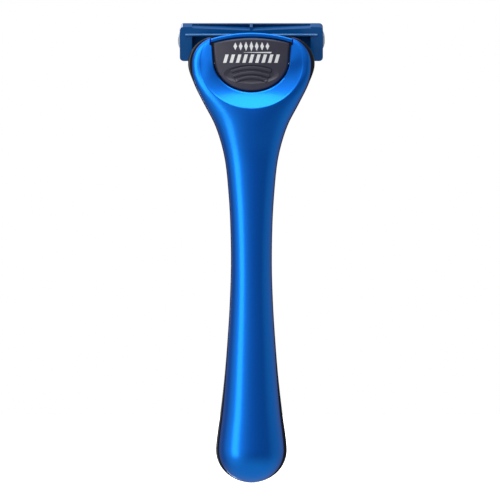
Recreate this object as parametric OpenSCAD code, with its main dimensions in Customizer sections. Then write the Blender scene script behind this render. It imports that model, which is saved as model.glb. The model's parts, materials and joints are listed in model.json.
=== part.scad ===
// Cartridge razor: two-part handle, release button, sliding docking head and pivoting three-blade unit.
// The handle stands along Z with the origin in the middle of its waist, the button faces -Y and the
// blades face +Y. Everything in the head is placed from the centre line of the ears, neck_len above the waist.

/* [Handle] */
// Length from the waist down to the widest part of the grip
grip_len = 54; // [42:1:66]
// Length of the rounded end below the widest part of the grip
end_len = 9.4; // [8:0.2:12]
// Length from the waist up to the centre of the ears
neck_len = 58; // [48:1:70]
// Width at the waist
waist_w = 11.9; // [10.5:0.1:14.5]
// Width at the widest part of the grip
grip_w = 20.6; // [17:0.1:25]
// How far the front reaches out at the waist
waist_front = 5.4; // [4.8:0.1:6.6]
// How far the back reaches out at the waist
waist_back = 5.2; // [4.8:0.1:6.6]
// How far the front reaches out at the grip
grip_front = 6.6; // [5.4:0.1:8]
// How far the back reaches out at the grip
grip_back = 9.2; // [7.4:0.1:11]
// Wall of the two shells
wall = 1.6; // [1.3:0.1:1.95]
// Thickness of the rubber pad on the back
pad_t = 0.9; // [0.6:0.1:1.4]
// Glue line under the pad
glue = 0.03; // [0.02:0.01:0.1]

/* [Head] */
// Distance from the middle to the centre of each ear
ear_x = 10.5; // [10:0.1:14]
// Outer radius of each ear
ear_r = 7.85; // [7.4:0.05:9]
// Width of the dark rim that the rear shell leaves around the ears
ear_rim = 1.7; // [1:0.1:2.2]
// How far the crease under the thumb dish stands out
crease_front = 7.6; // [7:0.1:9]
// Half width of the thumb dish at its crease
dish_rx = 15; // [14:0.1:16]
// Half height of the thumb dish at its crease
dish_rz = 13.1; // [12:0.1:14]

/* [Button] */
// Half width of the button
button_rx = 10.8; // [9.6:0.1:11.2]
// Height of the button's round lower part
button_rz = 9; // [8:0.1:9.6]
// Radius of the button's arched top edge
button_top_r = 28; // [24:1:36]
// Thickness of the button at its middle
button_t = 2; // [1.6:0.1:2.4]
// Gap around the button
button_gap = 0.35; // [0.25:0.05:0.5]
// Travel of the button and the docking head
travel = 3.5; // [2:0.1:3.8]

/* [Docking head] */
// How far the hood reaches past the button on each side
hood_side = 0.9; // [0.8:0.05:1.1]
// Thickness of the docking slab
slab_t = 3.2; // [2.8:0.1:3.4]
// Radius of the plunger
plunger_r = 0.95; // [0.7:0.05:1.05]
// Radius of the pivot pins
pin_r = 0.8; // [0.6:0.05:0.95]
// Radius of the pivot bar between the pins
bar_r = 1; // [0.96:0.01:1.1]
// Radial running clearance of the pins and the plunger
run_gap = 0.05; // [0.02:0.01:0.09]

/* [Blade unit] */
// Width of the cartridge frame
unit_w = 41.6; // [38:0.2:50]
// Height of the cartridge frame
unit_h = 10.2; // [10:0.1:11]
// Thickness of the cartridge frame
unit_t = 4.8; // [4.8:0.1:5.4]
// Forward lean of the blade unit at rest, in degrees
lean = 15; // [10:1:20]
// Largest pivot angle of the blade unit, in degrees
pivot_max = 32; // [20:1:32]
// Blade thickness
blade_t = 0.12; // [0.1:0.01:0.15]
// Blade width, edge to back
blade_w = 2.9; // [2.6:0.1:3]
// Distance between blade edges along the face
blade_pitch = 1.4; // [1.2:0.05:1.45]
// Angle between a blade and the shaving plane
blade_angle = 22; // [18:1:24]
// Diameter of the guard wires
wire_d = 0.08; // [0.06:0.01:0.12]
// Distance between neighbouring guard wires
wire_pitch = 1.3; // [1:0.1:2]

/* [Hidden] */

SHELL_BLUE = "royalblue";
SHELL_BLACK = "#101216";
PANEL_GREY = "#3b3a47";
FRAME_BLUE = "#1c4780";
STEEL = "lightsteelblue";
WHITE = "whitesmoke";
eps = 0.01;

// Handle: lines along Z, each a table of [height, value] that curve() joins smoothly.
ring_steps = 18;
station_step = 4;
head_top = ear_r * sin(82);
ear_front = 5.4;
ear_tip_front = 4.4;
ear_back = 4.2;
ear_tip_back = 0.6;
neck_back = 5.8;
grip_shares = [[1, 1], [0.9, 0.88], [0.8, 0.7], [0.6, 0.42], [0.4, 0.22], [0.2, 0.07]];
neck_shares = [[0.2, 0.015], [0.35, 0.055], [0.5, 0.125], [0.6, 0.225], [0.7, 0.385], [0.8, 0.63], [0.9, 0.86], [1, 1]];
head_w = 2 * (ear_x + ear_r);
width_line = [
    for (s = grip_shares) [-grip_len * s[0], mix(waist_w, grip_w, s[1]) / 2],
    [0, waist_w / 2],
    for (s = neck_shares) [neck_len * s[0], mix(waist_w, head_w, s[1]) / 2]
];
front_line = [
    [-grip_len, -grip_front], [-0.6 * grip_len, -mix(waist_front, grip_front, 0.75)], [0, -waist_front],
    [0.5 * neck_len, -waist_front - 0.3], [neck_len - dish_rz, -crease_front],
    [neck_len, -ear_front], [neck_len + ear_r, -ear_tip_front]
];
back_line = [
    [-grip_len, grip_back], [-0.6 * grip_len, mix(waist_back, grip_back, 0.55)], [0, waist_back],
    [0.6 * neck_len, neck_back], [neck_len - dish_rz, neck_back], [neck_len, ear_back],
    [neck_len + ear_r, ear_tip_back]
];
parting_line = [
    [-grip_len, 2.2], [-0.5 * grip_len, 1], [0, 0.3], [0.5 * neck_len, -0.3],
    [neck_len - dish_rz, -1.3], [neck_len, -1.6], [neck_len + ear_r, -1.8]
];
rim_line = [
    [-grip_len, 1.1], [-0.5 * grip_len, 0.5], [0, 0.15], [0.5 * neck_len, 0.3],
    [neck_len - dish_rz, 0.9], [neck_len, ear_rim]
];
squareness_line = [[-grip_len, 2.2], [0, 2.2], [0.6 * neck_len, 2.3], [neck_len, 3]];

// Depths in the head, front to back
button_front = 5.6;
button_back = button_front - button_t;
cavity_front = button_back - 0.1;
bridge_front = button_back - 0.2;
bridge_back = 1.2;
slab_front = 1;
slab_back = slab_t - slab_front;
hood_front = 5;
hood_back = 1.4;
cavity_top = 0.5;

// Heights in the head, from the centre line of the ears
button_mid = 1;
button_corner = 5.2;
button_top = 7.7;
hood_rx = button_rx + hood_side;
hood_r = 41;
hood_top = 9.1;
slab_rx = button_rx - 3.2;
slab_mid = -0.5;
column_in = 3;
column_out = button_rx - 0.2;
column_low = 0.3;
column_top = 5.6;
rail_gap = 0.2;
rail_out = column_out - 0.2;
rail_low = -9;
rail_top = -1.5;
bridge_low = travel - 3;
bridge_top = bridge_low + 1.5;
tab_in = 4;
tab_out = 7;
tab_low = 2.4;
tab_top = 3.9;
tab_depth = 1.2;
tab_gap = 0.15;
lug_rx = 1.4;
lug_low = -7.6;
lug_top = -6.6;

// Pivot axis, and the blade unit's own frame: x across, u out of its face, w up its face
axis_y = 7.4;
axis_z = 3.9;
unit_back = -1.3;
unit_face = unit_t + unit_back;
unit_low = -2.7;
unit_top = unit_h + unit_low;
unit_corner = 1.1;
block_in = unit_w / 2 - 3.6;
pocket_low = -1.5;
pocket_top = 4.7;
pocket_face = bar_r + 0.2;
window_rx = unit_w / 2 - 2;
window_low = -1.7;
window_top = 6.1;
pin_reach = 1.7;
bore_depth = pin_reach + 0.3;
nose_r = 0.9;
plunger_y = (slab_back - slab_front) / 2;
nose_y = plunger_y - axis_y;
nose_z = 0.8;
nose_gap = 0.1;
nose_rx = 2.2;
plunger_top = axis_z + nose_z - nose_r - nose_gap;
plunger_low = -4.5;
plunger_drop = -nose_y * pivot_max * PI / 180;
plunger_floor = plunger_low - plunger_drop - 1.7;
slab_low = plunger_floor - 0.9;
edge_u = unit_face - 0.1;
edge_w = 0.3;
blade_rx = window_rx - 1.2;
nose_set = 0.8;

// Springs
spring_wire = 0.3;
spring_r = 1.05;
spring_y = (bridge_front + bridge_back) / 2;
plunger_wire = 0.25;
spring_ring = 12;
spring_sides = 6;

function mix(a, b, s) = a + (b - a) * s;

// Smooth line through a table of [height, value], level at both ends
function row_at(t, z, i = 0) = i >= len(t) - 2 || z < t[i + 1][0] ? i : row_at(t, z, i + 1);
function slope(t, i) =
    i == 0 || i == len(t) - 1 ? 0 : (t[i + 1][1] - t[i - 1][1]) / (t[i + 1][0] - t[i - 1][0]);
function curve(t, z) =
    let (i = row_at(t, z), h = t[i + 1][0] - t[i][0], s = min(1, max(0, (z - t[i][0]) / h)))
    mix(t[i][1], t[i + 1][1], s * s * (3 - 2 * s))
    + h * s * (1 - s) * ((1 - s) * slope(t, i) - s * slope(t, i + 1));

// Share of the full section left at a height in the rounded end
function dome(z) = z >= -grip_len ? 1 : sqrt(max(0, 1 - pow((z + grip_len) / end_len, 2)));
function half_width(z) =
    z > neck_len ? ear_x + sqrt(pow(ear_r, 2) - pow(z - neck_len, 2)) : curve(width_line, z) * dome(z);
function part_y(z) = curve(parting_line, z);
function front_y(z) = mix(part_y(z), curve(front_line, z), dome(z));
function back_y(z) = mix(part_y(z), curve(back_line, z), dome(z));
function front_width(z) = half_width(z) - curve(rim_line, z) * dome(z);

// Heights of the rings: close together in the round end and round the ears, even in between
stations = [
    for (a = [-88:11:-11]) -grip_len + end_len * sin(a),
    for (i = [0:ceil((grip_len + neck_len) / station_step)])
        mix(-grip_len, neck_len, i / ceil((grip_len + neck_len) / station_step)),
    for (a = [16:16:64]) neck_len + ear_r * sin(a), neck_len + head_top
];

// Point of a flattened ellipse at an angle, with half width a and depth d
function flat_oval(angle, a, d, power) = [
    a * sign(cos(angle)) * pow(abs(cos(angle)), 2 / power),
    d * pow(abs(sin(angle)), 2 / power)
];

// Half ring in front of the parting line, and half ring behind it
function front_ring(z) = [
    for (k = [0:ring_steps])
        let (p = flat_oval(180 * k / ring_steps, front_width(z), part_y(z) - front_y(z), curve(squareness_line, z)))
        [-p[0], part_y(z) - p[1], z]
];
function rear_ring(z) = [
    for (k = [0:ring_steps])
        let (p = flat_oval(180 * k / ring_steps, half_width(z), back_y(z) - part_y(z), curve(squareness_line, z)))
        [p[0], part_y(z) + p[1], z]
];

// Ring of the hollow inside both shells, one wall in, and no deeper than the button's back in the head
function cavity_ring(z) =
    let (
        a = front_width(z) - wall,
        front = min(part_y(z) - 0.5, max(front_y(z) + wall, z > neck_len - 1.3 * dish_rz ? -cavity_front : -99)),
        back = max(part_y(z) + 0.5, back_y(z) - wall),
        power = curve(squareness_line, z)
    ) [
        for (k = [0:2 * ring_steps - 1])
            let (
                angle = 180 * k / ring_steps,
                p = flat_oval(angle, a, angle < 180 ? back - part_y(z) : part_y(z) - front, power)
            )
            [p[0], part_y(z) + (angle < 180 ? p[1] : -p[1]), z]
    ];

// Closed solid through a list of rings with the same number of points
module loft(rings) {
    n = len(rings[0]);
    m = len(rings);
    polyhedron(
        points = [for (r = rings) each r],
        faces = [
            [for (k = [0:n - 1]) k],
            [for (k = [0:n - 1]) (m - 1) * n + n - 1 - k],
            for (i = [0:m - 2], k = [0:n - 1]) [i * n + k, (i + 1) * n + k, (i + 1) * n + (k + 1) % n],
            for (i = [0:m - 2], k = [0:n - 1]) [i * n + k, (i + 1) * n + (k + 1) % n, i * n + (k + 1) % n]
        ]
    );
}

module cavity() {
    low = -grip_len - end_len + 2.2 * wall;
    inside = [for (z = stations) if (z > low + 0.5 && z < neck_len + cavity_top - 0.5) z];
    loft([for (z = concat([low], inside, [neck_len + cavity_top])) cavity_ring(z)]);
}

// Moves what is drawn in head heights to its place above the waist
module in_head() {
    translate([0, 0, neck_len]) children();
}

// Flat outline in x and height, made solid from y = from back to y = to
module plate(from, to) {
    translate([0, from, 0])
        rotate([90, 0, 0])
            linear_extrude(from - to)
                children();
}

module box(x, y, z) {
    translate([x[0], y[0], z[0]])
        cube([x[1] - x[0], y[1] - y[0], z[1] - z[0]]);
}

// Both sides of a shape drawn on the +X side
module both_sides() {
    children();
    mirror([1, 0, 0]) children();
}

// Outline of the button: round below, nearly straight sides, arched top, all grown by a gap
function arch(r, top, x) = top - r + sqrt(r * r - x * x);
function bowl(grow) = [
    for (a = [180:7.5:360]) [(button_rx + grow) * cos(a), button_mid + (button_rz + grow) * sin(a)]
];
module button_outline(grow) {
    corner_x = button_rx + 0.2 + grow;
    polygon(concat(
        bowl(grow),
        [for (s = [1:-0.125:-1]) [s * corner_x, arch(button_top_r, button_top + grow, s * corner_x)]]
    ));
}

// Opening in the shells: the button's outline with its gap, open between the ears
module well_outline() {
    side = button_rx + 0.2 + button_gap;
    open_x = hood_rx + 0.15;
    open_z = ear_r + 2;
    polygon(concat(
        bowl(button_gap),
        [[side, button_corner], [open_x, button_corner], [open_x, open_z]],
        [[-open_x, open_z], [-open_x, button_corner], [-side, button_corner]]
    ));
}

// Thumb dish: a shallow oval funnel from the crease down to the button's edge
module dish() {
    depth = crease_front - button_front + 0.4;
    inner = (button_rz + button_gap) / dish_rz;
    translate([0, -crease_front, 0])
        rotate([-90, 0, 0])
            linear_extrude(depth, scale = [(button_rx + button_gap) / dish_rx, inner])
                polygon([for (a = [0:10:350]) [dish_rx * cos(a), dish_rz * sin(a)]]);
}

module front_shell() {
    color(SHELL_BLUE)
        difference() {
            loft([for (z = stations) front_ring(z)]);
            cavity();
            in_head() {
                dish();
                plate(2, -12) well_outline();
            }
        }
}

module rear_shell() {
    color(SHELL_BLACK)
        difference() {
            loft([for (z = stations) rear_ring(z)]);
            cavity();
            in_head() {
                box([-hood_rx, hood_rx], [-9, 9], [0, ear_r + 1]);
                box([-slab_rx - rail_gap, slab_rx + rail_gap], [-1, slab_back + rail_gap], [slab_low - 0.4, 1]);
            }
        }
}

// Rubber pad that lies on the back of the rear shell, thinner towards its edges
module back_grip() {
    first = 4;
    last = ring_steps - first;
    pad = [for (z = stations) if (z > -0.86 * grip_len && z < 0.5 * neck_len) z];
    function lift(k, i) = pad_t * min(1, 0.35 + 0.65 * min(k - first, last - k, i, len(pad) - 1 - i));
    color(SHELL_BLACK)
        loft([
            for (i = [0:len(pad) - 1])
                let (ring = rear_ring(pad[i]))
                concat(
                    [for (k = [first:last]) ring[k] + [0, glue + lift(k, i), 0]],
                    [for (k = [last:-1:first]) ring[k] + [0, glue, 0]]
                )
        ]);
}

// Inner frame: a spine down the handle, and a fork in the head that guides the docking slab
module chassis() {
    spine_rx = waist_w / 2 - wall - 2.15;
    spine_y = min(waist_front, waist_back) - wall - 1.3;
    fork_low = -15;
    fork_rx = 6.5;
    color(SHELL_BLACK) {
        box([-spine_rx, spine_rx], [-spine_y, spine_y], [-0.85 * grip_len, neck_len + fork_low + 1]);
        in_head() {
            difference() {
                plate(slab_back - 0.2, -bridge_back)
                    polygon([
                        [-fork_rx, fork_low], [fork_rx, fork_low], [rail_out, rail_low], [rail_out, rail_top],
                        [-rail_out, rail_top], [-rail_out, rail_low]
                    ]);
                box([-slab_rx - rail_gap, slab_rx + rail_gap], [-9, 9], [slab_low - 0.4, 0]);
            }
            both_sides() {
                box([slab_rx + 0.6, rail_out], [-bridge_front, -bridge_back + 0.6], [rail_top - 0.7, rail_top]);
                box([slab_rx + 0.6, rail_out], [-bridge_front, -bridge_back], [rail_top - eps, bridge_top]);
            }
            box([-rail_out, rail_out], [-bridge_front, -bridge_back], [bridge_low, bridge_top]);
        }
    }
}

// Button: crowned plate, a tab each side that pushes the docking slab, and a lug under its spring
module release_button() {
    crown_r = 40;
    tilt = 6;
    color(PANEL_GREY)
        in_head() {
            intersection() {
                plate(-button_back, -9) button_outline(0);
                translate([0, crown_r - button_front, 0])
                    rotate([tilt, 0, 0])
                        cylinder(h = 60, r = crown_r, center = true, $fn = 96);
            }
            both_sides()
                box([tab_in, tab_out], [-button_back - 0.1, tab_depth - slab_front], [tab_low, tab_top]);
            box([-lug_rx, lug_rx], [-button_back - 0.1, -bridge_back - 0.1], [lug_low, lug_top]);
        }
}

// Coil spring of round wire along Z: a ring of points carried round a helix
module spring(low, high, r, wire, turns) {
    steps = turns * spring_ring;
    loft([
        for (i = [0:steps])
            let (a = 360 * i / spring_ring, z = mix(low + wire / 2, high - wire / 2, i / steps))
            [
                for (k = [0:spring_sides - 1])
                    let (b = -360 * k / spring_sides, q = r - wire / 2 + wire / 2 * cos(b))
                    [q * cos(a), q * sin(a), z + wire / 2 * sin(b)]
            ]
    ]);
}

module button_spring() {
    color(STEEL)
        in_head()
            translate([0, -spring_y, 0])
                spring(lug_top, bridge_low, spring_r, spring_wire, 7);
}

module plunger_spring() {
    color(STEEL)
        in_head()
            translate([0, plunger_y, 0])
                spring(plunger_floor, plunger_low, plunger_r - 0.05, plunger_wire, 5);
}

// Docking slab with its two arms, the pivot bar and the pins that carry the blade unit
module docking_frame() {
    arm_in = 5.5;
    arm_out = 9.5;
    color(SHELL_BLUE)
        in_head() {
            difference() {
                plate(slab_back, -slab_front)
                    polygon([
                        [-slab_rx, slab_low], [slab_rx, slab_low], [slab_rx, column_low],
                        [column_out, column_low], [column_out, column_top - 0.6], [column_out - 2.6, column_top],
                        [column_in, column_top], [column_in, slab_mid], [-column_in, slab_mid],
                        [-column_in, column_top], [2.6 - column_out, column_top],
                        [-column_out, column_top - 0.6], [-column_out, column_low], [-slab_rx, column_low]
                    ]);
                translate([0, plunger_y, plunger_floor])
                    cylinder(h = 20, r = plunger_r + run_gap, $fn = 48);
                both_sides()
                    box(
                        [tab_in - tab_gap, tab_out + tab_gap],
                        [-slab_front - 1, tab_depth - slab_front + tab_gap],
                        [tab_low - tab_gap, tab_top + tab_gap]
                    );
            }
            both_sides() {
                box([arm_in, arm_out], [slab_back - 0.2, axis_y], [axis_z - bar_r, axis_z + bar_r]);
                translate([nose_rx + 0.6, axis_y, axis_z])
                    rotate([0, 90, 0])
                        cylinder(h = block_in - 0.3 - nose_rx - 0.6, r = bar_r, $fn = 48);
                translate([block_in - 0.8, axis_y, axis_z])
                    rotate([0, 90, 0])
                        cylinder(h = pin_reach + 0.8, r = pin_r, $fn = 48);
            }
        }
}

// Hood: the arched band over the button, with two tongues glued to the front of the docking slab
module hood() {
    low_rx = button_rx + 0.2 + button_gap;
    color(SHELL_BLUE)
        in_head() {
            plate(-hood_back, -hood_front)
                polygon(concat(
                    [[-hood_rx, button_corner + 0.3]],
                    [for (s = [-1:0.1:1]) [s * low_rx, arch(button_top_r, button_top + button_gap, s * low_rx)]],
                    [[hood_rx, button_corner + 0.3]],
                    [for (s = [1:-0.1:-1]) [s * hood_rx, arch(hood_r, hood_top, s * hood_rx)]]
                ));
            both_sides()
                box([column_in, column_out - 2.6], [-hood_back - 0.5, -slab_front], [tab_top + 0.6, button_top]);
        }
}

module plunger() {
    dome_r = 0.3;
    color(WHITE)
        in_head()
            translate([0, plunger_y, plunger_low])
                rotate_extrude($fn = 48)
                    polygon([
                        [0, 0], [plunger_r, 0], [plunger_r, plunger_top - plunger_low - dome_r],
                        [plunger_r - dome_r, plunger_top - plunger_low], [0, plunger_top - plunger_low]
                    ]);
}

// Places what is drawn in the blade unit's frame [x, u, w] at the pivot axis, leaning back
module in_unit() {
    translate([0, axis_y, neck_len + axis_z])
        rotate([lean, 0, 0])
            children();
}

// Outline in u and w, made solid across x from -rx to rx
module across(rx) {
    translate([rx, 0, 0])
        rotate([0, -90, 0])
            linear_extrude(2 * rx)
                rotate(90)
                    mirror([0, 1, 0])
                        children();
}

module rounded(rx, low, high, r) {
    polygon([
        for (c = [[rx - r, high - r, 0], [-rx + r, high - r, 90], [-rx + r, low + r, 180], [rx - r, low + r, 270]])
            for (a = [0:15:90]) [c[0] + r * cos(c[2] + a), c[1] + r * sin(c[2] + a)]
    ]);
}

// Moulded frame: end blocks with the pivot bores, rails above and below, and the nose on the plunger
module cartridge_frame() {
    bead_r = 0.3;
    nose_u = nose_y * cos(lean) + nose_z * sin(lean);
    nose_w = -nose_y * sin(lean) + nose_z * cos(lean);
    color(FRAME_BLUE)
        in_unit() {
            difference() {
                plate(unit_face, unit_back) rounded(unit_w / 2, unit_low, unit_top, unit_corner);
                box([-block_in, block_in], [unit_back - 1, pocket_face + eps], [pocket_low, pocket_top]);
                box([-window_rx, window_rx], [pocket_face, unit_face + 1], [window_low, window_top]);
                both_sides()
                    translate([block_in - 0.5, 0, 0])
                        rotate([0, 90, 0])
                            cylinder(h = bore_depth + 0.5, r = pin_r + run_gap, $fn = 48);
                both_sides()
                    plate(unit_face - 1, unit_back - 1)
                        polygon([
                            [0.4, unit_top - 1], [block_in, unit_top - 0.35],
                            [block_in, unit_top + 1], [0.4, unit_top + 1]
                        ]);
            }
            translate([-block_in - 2, unit_back, pocket_top + bead_r])
                rotate([0, 90, 0])
                    cylinder(h = 2 * block_in + 4, r = bead_r, $fn = 24);
            box([-nose_rx, nose_rx], [unit_back, pocket_face - 0.1], [pocket_low, pocket_top + 0.1]);
            box([-nose_rx, nose_rx], [nose_u, unit_back + 0.1], [nose_w - nose_r, nose_w + nose_r]);
            translate([-nose_rx, nose_u, nose_w])
                rotate([0, 90, 0])
                    cylinder(h = 2 * nose_rx, r = nose_r, $fn = 48);
        }
}

// Point in u and w from a distance s along the blade plane (edge at 0, back negative) and q out of it
function seat(s, q) = [
    edge_u + s * sin(blade_angle) + q * cos(blade_angle),
    edge_w - s * cos(blade_angle) + q * sin(blade_angle)
];
function edge_s(i) = -i * blade_pitch * cos(blade_angle);
function edge_q(i) = i * blade_pitch * sin(blade_angle);

// Strip of the blade stack: from s0 to s1 along the blade plane and q0 to q1 out of it
module strip(rx, s0, s1, q0, q1) {
    across(rx) polygon([seat(s0, q0), seat(s1, q0), seat(s1, q1), seat(s0, q1)]);
}

module blade(i) {
    bevel = 0.45;
    s = edge_s(i);
    q = edge_q(i);
    color(STEEL)
        in_unit()
            across(blade_rx)
                polygon([
                    seat(s - blade_w, q), seat(s - blade_w, q - blade_t), seat(s - bevel, q - blade_t),
                    seat(s, q - blade_t / 2), seat(s - bevel, q)
                ]);
}

// Spacer on blade i, set back from the next blade's edge
module spacer(i) {
    color(STEEL)
        in_unit()
            strip(
                blade_rx - 0.4,
                edge_s(i + 1) - blade_w, edge_s(i + 1) - nose_set,
                edge_q(i), edge_q(i + 1) - blade_t
            );
}

// Guard wires round the edge of blade i, side by side along it
module wires(i) {
    s = edge_s(i);
    q = edge_q(i);
    tail = nose_set - 0.1;
    count = floor((blade_rx - 1) / wire_pitch);
    color(STEEL)
        in_unit()
            for (k = [-count:count])
                translate([k * wire_pitch, 0, 0])
                    across(wire_d / 2)
                        polygon([
                            seat(s - tail, q), seat(s, q), seat(s + eps, q - blade_t / 2), seat(s, q - blade_t),
                            seat(s - tail, q - blade_t), seat(s - tail, q - blade_t - wire_d),
                            seat(s + wire_d / 2, q - blade_t - wire_d), seat(s + wire_d, q - blade_t / 2),
                            seat(s + wire_d / 2, q + wire_d), seat(s - tail, q + wire_d)
                        ]);
}

// Tray under the blades, with a seat that slopes as they do and a step behind the second blade
module blade_platform() {
    low_u = pocket_face + 0.05;
    step_s = edge_s(1) - blade_w - 0.05;
    step_q = edge_q(1) - 0.02;
    back_s = edge_s(2) - blade_w;
    top_w = window_top - 0.1;
    color(WHITE)
        in_unit()
            across(window_rx - 0.1)
                polygon([
                    [low_u, window_low + 1.2], [low_u + 0.9, window_low + 1.2], seat(-nose_set, -blade_t),
                    seat(step_s, -blade_t), seat(step_s, step_q), seat(back_s, step_q), [seat(back_s, step_q)[0], top_w],
                    [low_u, top_w]
                ]);
}

// Cap that closes the stack behind the last edge, with a channel for the lubricating strip
module blade_cap() {
    a = seat(edge_s(2) - nose_set, edge_q(2));
    b = seat(edge_s(2) - blade_w, edge_q(2));
    top_w = window_top - 0.1;
    color(FRAME_BLUE)
        in_unit()
            difference() {
                across(window_rx - 0.1)
                    polygon([a, b, [b[0], top_w], [unit_face, top_w], [unit_face, a[1] + 0.3]]);
                across(window_rx + 1)
                    polygon([
                        [unit_face - 0.35, a[1] + 0.6], [unit_face + 1, a[1] + 0.6],
                        [unit_face + 1, top_w - 0.15], [unit_face - 0.35, top_w - 0.15]
                    ]);
            }
}

module lubricating_strip() {
    a = seat(edge_s(2) - nose_set, edge_q(2));
    low_w = a[1] + 0.6;
    high_w = window_top - 0.25;
    color("#9fd8c8")
        in_unit()
            across(window_rx - 0.5)
                polygon([
                    [unit_face - 0.35, low_w], [unit_face + 0.1, low_w], [unit_face + 0.25, low_w + 0.25],
                    [unit_face + 0.25, high_w - 0.25], [unit_face + 0.1, high_w], [unit_face - 0.35, high_w]
                ]);
}

// Soft guard in front of the first blade: a strip with three fine fins
module guard_strip() {
    fin_pitch = 0.42;
    color(SHELL_BLACK)
        in_unit()
            across(window_rx - 0.4)
                polygon(concat(
                    [[unit_face - 1.2, window_low + 0.02], [unit_face - 1.2, window_low + 1.35]],
                    [
                        for (k = [2:-1:0]) each [
                            [unit_face - 0.2, window_low + 0.4 + k * fin_pitch],
                            [unit_face + 0.1, window_low + 0.25 + k * fin_pitch],
                            [unit_face - 0.2, window_low + 0.1 + k * fin_pitch]
                        ]
                    ],
                    [[unit_face - 0.2, window_low + 0.02]]
                ));
}

// Pale cap that locks one end of the blade stack: a lip over the blades and a bowed end plate
module end_cap() {
    end_low = 0.7;
    end_high = 5.2;
    bow = 0.55;
    chord = (end_high - end_low) / 2;
    bow_r = (chord * chord + bow * bow) / (2 * bow);
    lip_t = 0.4;
    lip_top = 3.8;
    color(WHITE)
        in_unit() {
            intersection() {
                translate([unit_w / 2 + bow - bow_r, 0.2, (end_low + end_high) / 2])
                    rotate([-90, 0, 0])
                        cylinder(h = unit_face - 0.2 + lip_t, r = bow_r, $fn = 96);
                box([unit_w / 2, unit_w], [0, unit_face + lip_t], [-9, 9]);
            }
            box([blade_rx - 0.4, unit_w / 2 + 0.1], [unit_face, unit_face + lip_t], [end_low + 0.2, lip_top]);
        }
}

front_shell();
rear_shell();
back_grip();
chassis();
release_button();
button_spring();
docking_frame();
hood();
plunger();
plunger_spring();
cartridge_frame();
blade_platform();
mirror([1, 0, 0]) end_cap();  // end_cap_left
end_cap();  // end_cap_right
blade_cap();
lubricating_strip();
guard_strip();
blade(0);  // blade_1
blade(1);  // blade_2
blade(2);  // blade_3
spacer(0);  // spacer_1
spacer(1);  // spacer_2
wires(0);  // wires_1
wires(1);  // wires_2
wires(2);  // wires_3
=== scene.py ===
import json
import math

import bmesh
import bpy
import numpy as np
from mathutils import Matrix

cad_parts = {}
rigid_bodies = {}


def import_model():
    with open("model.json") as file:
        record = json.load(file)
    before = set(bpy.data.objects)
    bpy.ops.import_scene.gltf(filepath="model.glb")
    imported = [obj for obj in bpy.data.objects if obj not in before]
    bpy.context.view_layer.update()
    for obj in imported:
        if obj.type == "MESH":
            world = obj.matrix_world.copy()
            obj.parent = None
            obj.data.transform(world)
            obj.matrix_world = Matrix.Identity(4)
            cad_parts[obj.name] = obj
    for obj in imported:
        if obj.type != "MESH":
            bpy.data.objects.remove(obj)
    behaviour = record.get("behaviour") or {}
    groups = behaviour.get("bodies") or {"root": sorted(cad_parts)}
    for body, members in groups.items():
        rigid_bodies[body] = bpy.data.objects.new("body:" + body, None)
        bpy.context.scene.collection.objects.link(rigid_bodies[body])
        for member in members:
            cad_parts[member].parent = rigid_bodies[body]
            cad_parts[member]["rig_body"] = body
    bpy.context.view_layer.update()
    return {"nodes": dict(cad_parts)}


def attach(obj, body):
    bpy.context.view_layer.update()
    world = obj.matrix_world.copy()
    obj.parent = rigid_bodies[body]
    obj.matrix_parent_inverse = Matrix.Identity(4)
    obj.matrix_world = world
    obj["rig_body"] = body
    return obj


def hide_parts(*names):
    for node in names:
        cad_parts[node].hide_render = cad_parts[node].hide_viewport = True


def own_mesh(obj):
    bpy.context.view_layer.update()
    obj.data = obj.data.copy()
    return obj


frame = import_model()

# ------------------------------------------------------------------------------------------
# Front shell: the blue half of the handle, with the thumb dish and the U-shaped opening for
# the button. Injection-moulded ABS under a metallic lacquer and a clear coat, clipped and
# welded to the rear shell along the parting line.
# ------------------------------------------------------------------------------------------
MM = 0.001                  # sizes are in millimetres, meshes in metres
EAR_X, EAR_Z = 10.5, 58.0   # centre of each ear's circle, from the middle plane and the waist
EAR_R = 7.85
GRIP_LEN = 54.0             # from the waist down to the start of the rounded end
END_LEN = 9.4
WAIST_W, GRIP_W = 11.9, 20.6
WALL = 1.6
DISH_RX, DISH_RZ = 15.0, 13.1
DISH_EDGE_Y = -5.2          # depth of the dish at the button's edge
DISH_BOW = 1.2              # above 1 the dish is hollow, at 1 a straight funnel
CREASE_RANGE = (0.2, 0.72)  # least and greatest share of the way to the rim that it takes
CREASE_SOFT = 0.12          # how softly the dish meets the shell round it
BUTTON_MID = EAR_Z + 1.0    # middle of the button's rounded lower part
BUTTON_RX, BUTTON_RZ = 10.8, 9.0
BUTTON_GAP = 0.35
WELL_CORNER = EAR_Z + 5.2   # where the opening widens for the hood
HOOD_RX = 11.7
WELL_RX = HOOD_RX + 0.15    # half width of the opening beside the hood
EDGE_CHAMFER = 0.28
NECK_CUT = 40.0             # the head is built as a fan of lines above this height
CAVITY_FRONT = -3.5         # the hollow goes no further forward than this behind the button
CAVITY_DROP = 3.0           # but this much further forward below the neck's cut
CAVITY_MIN = 0.5            # least depth of the hollow from the parting line
CAVITY_FADE = 0.6           # the hollow ends where it is narrower than this
FRONT_HOLLOW_END = EAR_Z + 0.8
HOLLOW_STEP = 0.3           # height over which the hollow closes at the ears
NECK_POWER = 2.4            # squareness that spaces the columns across the handle
COLUMNS = 97


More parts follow.
